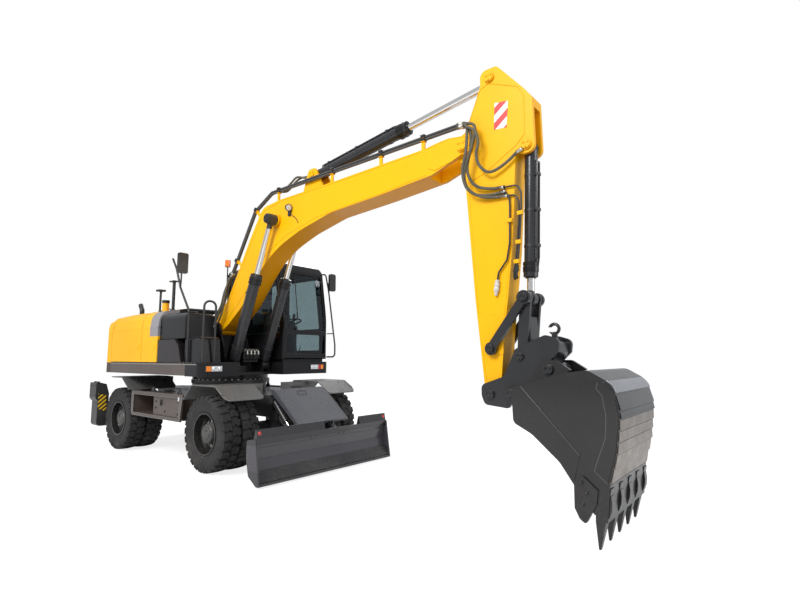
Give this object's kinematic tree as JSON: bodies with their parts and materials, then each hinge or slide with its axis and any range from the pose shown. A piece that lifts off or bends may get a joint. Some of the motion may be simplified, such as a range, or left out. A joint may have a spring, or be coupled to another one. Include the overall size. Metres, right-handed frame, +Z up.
{
  "type": "wheeled excavator",
  "caption": "Wheeled excavator with slewing cab and engine house, one-piece boom, arm and bucket on a quick coupler, dozer blade and folding stabilisers",
  "frame": {"origin": "bottom centre of the bounding box at rest, on the ground", "axes": "+X ahead (blade and bucket side), +Y left (cab side), +Z up"},
  "size_m": [9.1088, 2.75, 4.77],
  "materials": {
    "yellow_paint": "satin",
    "charcoal_paint": "satin",
    "dark_grey_paint": "satin",
    "brown_grey_paint": "matte",
    "chrome_rod": "polished",
    "tyre_rubber": "matte",
    "glass": "clear",
    "black_plastic": "matte",
    "seat_fabric": "matte",
    "beacon_plastic": "gloss",
    "cast_grey": "matte"
  },
  "bodies": {
    "chassis": {"chassis_frame": "dark_grey_paint", "side_boxes": "brown_grey_paint", "fenders": "brown_grey_paint", "axles": "dark_grey_paint"},
    "knuckle_left": {"knuckle_left": "dark_grey_paint"},
    "knuckle_right": {"knuckle_right": "dark_grey_paint"},
    "tie_rod": {"tie_rod": "dark_grey_paint"},
    "wheel_front_left": {"tyres_front_left": "tyre_rubber", "rim_front_left": "charcoal_paint"},
    "wheel_front_right": {"tyres_front_right": "tyre_rubber", "rim_front_right": "charcoal_paint"},
    "wheel_rear_left": {"tyres_rear_left": "tyre_rubber", "rim_rear_left": "charcoal_paint"},
    "wheel_rear_right": {"tyres_rear_right": "tyre_rubber", "rim_rear_right": "charcoal_paint"},
    "stabiliser_left": {"stabiliser_left": "dark_grey_paint"},
    "stabiliser_right": {"stabiliser_right": "dark_grey_paint"},
    "blade_arms": {"blade_arms": "charcoal_paint"},
    "blade_cover": {"blade_cover": "brown_grey_paint"},
    "blade": {"blade": "charcoal_paint"},
    "blade_cylinder_tubes": {"blade_cylinder_tubes": "charcoal_paint"},
    "blade_cylinder_rods": {"blade_cylinder_rods": "chrome_rod"},
    "upper": {"upper_frame": "dark_grey_paint", "side_skirts": "brown_grey_paint", "counterweight": "yellow_paint", "engine_bay": "yellow_paint", "engine": "cast_grey", "hood": "yellow_paint", "hood_fittings": "charcoal_paint", "fuel_tank": "charcoal_paint", "right_cabinet": "charcoal_paint", "step_unit": "charcoal_paint", "handrails": "charcoal_paint", "mirrors": "charcoal_paint", "cab": "charcoal_paint", "cab_glass": "glass", "seat_base": "black_plastic", "seat_cushion": "seat_fabric", "seat_back": "seat_fabric", "cab_controls": "black_plastic", "beacon": "beacon_plastic"},
    "hood_lid": {"hood_lid": "yellow_paint"},
    "side_door_left": {"side_door_left": "yellow_paint"},
    "side_door_right": {"side_door_right": "yellow_paint"},
    "pump_door": {"pump_door_right": "yellow_paint"},
    "cabinet_door": {"cabinet_door": "charcoal_paint"},
    "cab_door": {"cab_door": "charcoal_paint", "door_glass": "glass"},
    "boom": {"boom": "yellow_paint"},
    "boom_cylinder_tubes": {"boom_cylinder_tubes": "charcoal_paint"},
    "boom_cylinder_rods": {"boom_cylinder_rods": "chrome_rod"},
    "arm": {"arm": "yellow_paint"},
    "arm_cylinder_tube": {"arm_cylinder_tube": "charcoal_paint"},
    "arm_cylinder_rod": {"arm_cylinder_rod": "chrome_rod"},
    "bucket_cylinder_tube": {"bucket_cylinder_tube": "charcoal_paint"},
    "bucket_cylinder_rod": {"bucket_cylinder_rod": "chrome_rod"},
    "rocker_links": {"rocker_links": "charcoal_paint"},
    "bucket_link": {"bucket_link": "charcoal_paint"},
    "bucket": {"quick_coupler": "charcoal_paint", "bucket": "charcoal_paint"}
  },
  "joints": [
    {"name": "slew", "type": "hinge", "parent": "chassis", "child": "upper", "pos_m": [-2.051, 0, 1.22], "axis": [0, 0, 1], "continuous": true},
    {"name": "steer_left", "type": "hinge", "parent": "chassis", "child": "knuckle_left", "pos_m": [-0.762, 0.6, 0.532], "axis": [0, 0, 1], "range_deg": [-30, 30]},
    {"name": "front_wheel_left", "type": "hinge", "parent": "knuckle_left", "child": "wheel_front_left", "pos_m": [-0.762, 0.956, 0.532], "axis": [0, 1, 0], "continuous": true},
    {"name": "rear_wheel_left", "type": "hinge", "parent": "chassis", "child": "wheel_rear_left", "pos_m": [-3.599, 0.956, 0.532], "axis": [0, 1, 0], "continuous": true},
    {"name": "steer_right", "type": "hinge", "parent": "chassis", "child": "knuckle_right", "pos_m": [-0.762, -0.6, 0.532], "axis": [0, 0, 1], "range_deg": [-30, 30]},
    {"name": "front_wheel_right", "type": "hinge", "parent": "knuckle_right", "child": "wheel_front_right", "pos_m": [-0.762, -0.956, 0.532], "axis": [0, 1, 0], "continuous": true},
    {"name": "rear_wheel_right", "type": "hinge", "parent": "chassis", "child": "wheel_rear_right", "pos_m": [-3.599, -0.956, 0.532], "axis": [0, 1, 0], "continuous": true},
    {"name": "tie_rod_slide", "type": "slide", "parent": "chassis", "child": "tie_rod", "axis": [0, -1, 0], "range_m": [-0.12, 0.12]},
    {"name": "blade_lift", "type": "hinge", "parent": "chassis", "child": "blade_arms", "pos_m": [-0.331, 0, 0.74], "axis": [0, -1, 0], "range_deg": [-10, 28]},
    {"name": "blade_cover_link", "type": "hinge", "parent": "chassis", "child": "blade_cover", "pos_m": [-0.331, 0, 1.01], "axis": [0, -1, 0], "range_deg": [-10, 28]},
    {"name": "blade_level", "type": "hinge", "parent": "blade_arms", "child": "blade", "pos_m": [0.269, 0, 0.28], "axis": [0, -1, 0], "range_deg": [-28, 10]},
    {"name": "blade_cylinder_swing", "type": "hinge", "parent": "chassis", "child": "blade_cylinder_tubes", "pos_m": [-0.316, 0, 0.958], "axis": [0, -1, 0], "range_deg": [-9, 24]},
    {"name": "blade_cylinder_stroke", "type": "slide", "parent": "blade_cylinder_tubes", "child": "blade_cylinder_rods", "axis": [0.7166, 0, -0.6975], "range_m": [-0.1, 0.04]},
    {"name": "stabiliser_fold_left", "type": "hinge", "parent": "chassis", "child": "stabiliser_left", "pos_m": [-4.361, 1.02, 0.46], "axis": [-1, 0, 0], "range_deg": [0, 112]},
    {"name": "stabiliser_fold_right", "type": "hinge", "parent": "chassis", "child": "stabiliser_right", "pos_m": [-4.361, -1.02, 0.46], "axis": [1, 0, 0], "range_deg": [0, 112]},
    {"name": "hood_lid_hinge", "type": "hinge", "parent": "upper", "child": "hood_lid", "pos_m": [-3.931, 0, 2.306], "axis": [0, -1, 0], "range_deg": [0, 65]},
    {"name": "side_door_left_hinge", "type": "hinge", "parent": "upper", "child": "side_door_left", "pos_m": [-4.006, 1.255, 1.79], "axis": [0, 0, 1], "range_deg": [0, 100]},
    {"name": "side_door_right_hinge", "type": "hinge", "parent": "upper", "child": "side_door_right", "pos_m": [-4.006, -1.255, 1.79], "axis": [0, 0, -1], "range_deg": [0, 100]},
    {"name": "pump_door_hinge", "type": "hinge", "parent": "upper", "child": "pump_door", "pos_m": [-2.799, -1.255, 1.79], "axis": [0, 0, -1], "range_deg": [0, 100]},
    {"name": "cabinet_door_hinge", "type": "hinge", "parent": "upper", "child": "cabinet_door", "pos_m": [-2.231, -1.25, 1.69], "axis": [0, 0, -1], "range_deg": [0, 100]},
    {"name": "cab_door_hinge", "type": "hinge", "parent": "upper", "child": "cab_door", "pos_m": [-2.111, 1.255, 2.37], "axis": [0, 0, 1], "range_deg": [0, 90]},
    {"name": "boom_lift", "type": "hinge", "parent": "upper", "child": "boom", "pos_m": [-1.905, -0.2, 2.07], "axis": [0, -1, 0], "range_deg": [-50, 22]},
    {"name": "boom_cylinder_swing", "type": "hinge", "parent": "upper", "child": "boom_cylinder_tubes", "pos_m": [-1.261, -0.2, 1.465], "axis": [0, -1, 0], "range_deg": [-48, 21]},
    {"name": "boom_cylinder_stroke", "type": "slide", "parent": "boom_cylinder_tubes", "child": "boom_cylinder_rods", "axis": [0.3699, 0, 0.9291], "range_m": [-0.74, 0.33]},
    {"name": "arm_swing", "type": "hinge", "parent": "boom", "child": "arm", "pos_m": [2.934, -0.2, 3.952], "axis": [0, 1, 0], "range_deg": [-78, 35]},
    {"name": "arm_cylinder_swing", "type": "hinge", "parent": "boom", "child": "arm_cylinder_tube", "pos_m": [0.342, -0.2, 4.278], "axis": [0, 1, 0], "range_deg": [-4, 2]},
    {"name": "arm_cylinder_stroke", "type": "slide", "parent": "arm_cylinder_tube", "child": "arm_cylinder_rod", "axis": [0.9915, 0, 0.1305], "range_m": [-0.86, 0.4]},
    {"name": "bucket_curl", "type": "hinge", "parent": "arm", "child": "bucket", "pos_m": [3.212, -0.2, 1.216], "axis": [0, 1, 0], "range_deg": [-10, 130]},
    {"name": "rocker_swing", "type": "hinge", "parent": "arm", "child": "rocker_links", "pos_m": [3.227, -0.2, 1.68], "axis": [0, 1, 0], "range_deg": [-10, 110]},
    {"name": "bucket_link_swing", "type": "hinge", "parent": "rocker_links", "child": "bucket_link", "pos_m": [3.601, -0.2, 2.185], "axis": [0, 1, 0], "range_deg": [-82, 8]},
    {"name": "bucket_cylinder_swing", "type": "hinge", "parent": "arm", "child": "bucket_cylinder_tube", "pos_m": [3.663, -0.2, 3.779], "axis": [0, 1, 0], "range_deg": [-6, 1]},
    {"name": "bucket_cylinder_stroke", "type": "slide", "parent": "bucket_cylinder_tube", "child": "bucket_cylinder_rod", "axis": [-0.0389, 0, -0.9992], "range_m": [-0.09, 1.06]}
  ],
  "couplings": [
    {"joint": "steer_right", "follows": "steer_left", "ratio": 1},
    {"joint": "tie_rod_slide", "follows": "steer_left", "m_per_rad": 0.2},
    {"joint": "blade_cover_link", "follows": "blade_lift", "ratio": 1},
    {"joint": "blade_level", "follows": "blade_lift", "ratio": -1},
    {"joint": "blade_cylinder_swing", "follows": "blade_lift", "ratio": 0.802},
    {"joint": "blade_cylinder_stroke", "follows": "blade_lift", "m_per_rad": -0.1817},
    {"joint": "boom_cylinder_swing", "follows": "boom_lift", "ratio": 0.9438},
    {"joint": "boom_cylinder_stroke", "follows": "boom_lift", "m_per_rad": 0.8345},
    {"joint": "arm_cylinder_swing", "follows": "arm_swing", "ratio": 0.0442},
    {"joint": "arm_cylinder_stroke", "follows": "arm_swing", "m_per_rad": 0.6162},
    {"joint": "rocker_swing", "follows": "bucket_curl", "ratio": 0.83},
    {"joint": "bucket_link_swing", "follows": "bucket_curl", "ratio": -0.62},
    {"joint": "bucket_cylinder_swing", "follows": "bucket_curl", "ratio": -0.04},
    {"joint": "bucket_cylinder_stroke", "follows": "bucket_curl", "m_per_rad": 0.461}
  ]
}
